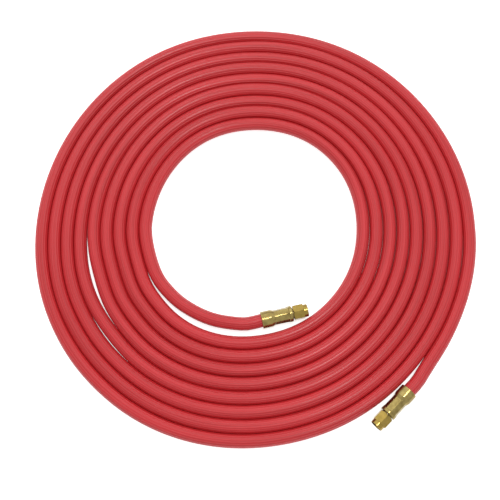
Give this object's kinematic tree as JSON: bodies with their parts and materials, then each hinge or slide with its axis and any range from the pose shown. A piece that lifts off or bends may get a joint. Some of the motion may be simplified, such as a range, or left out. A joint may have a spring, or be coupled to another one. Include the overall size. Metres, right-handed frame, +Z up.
{
  "type": "coil of gas hose",
  "caption": "Flat coil of ribbed red rubber gas hose with a crimped brass ferrule and a swivelling hexagon nut on each end.",
  "frame": {"origin": "on the surface that the coil lies on, under the middle of its outline", "axes": "+Z is up, out of the coil's flat face; -Y points to the side where both fittings lie"},
  "size_m": [0.3692, 0.3638, 0.0139],
  "materials": {
    "hose_rubber": "satin red rubber with fine lengthwise ribs",
    "ferrule_brass": "dull drawn brass with crimp marks",
    "nipple_brass": "turned brass",
    "nut_brass": "machined brass"
  },
  "bodies": {
    "hose": {"hose_coil": "hose_rubber", "hose_outer_end": "hose_rubber", "hose_inner_end": "hose_rubber", "outer_ferrule": "ferrule_brass", "outer_nipple": "nipple_brass", "inner_ferrule": "ferrule_brass", "inner_nipple": "nipple_brass"},
    "outer_nut": {"outer_nut": "nut_brass"},
    "inner_nut": {"inner_nut": "nut_brass"}
  },
  "joints": [
    {"name": "outer_nut_swivel", "type": "hinge", "parent": "hose", "child": "outer_nut", "pos_m": [0.10113, -0.15804, 0.00695], "axis": [-0.7133, -0.7009, 0], "continuous": true},
    {"name": "inner_nut_swivel", "type": "hinge", "parent": "hose", "child": "inner_nut", "pos_m": [0.03193, -0.07744, 0.00695], "axis": [0.9751, 0.2218, 0], "continuous": true}
  ]
}
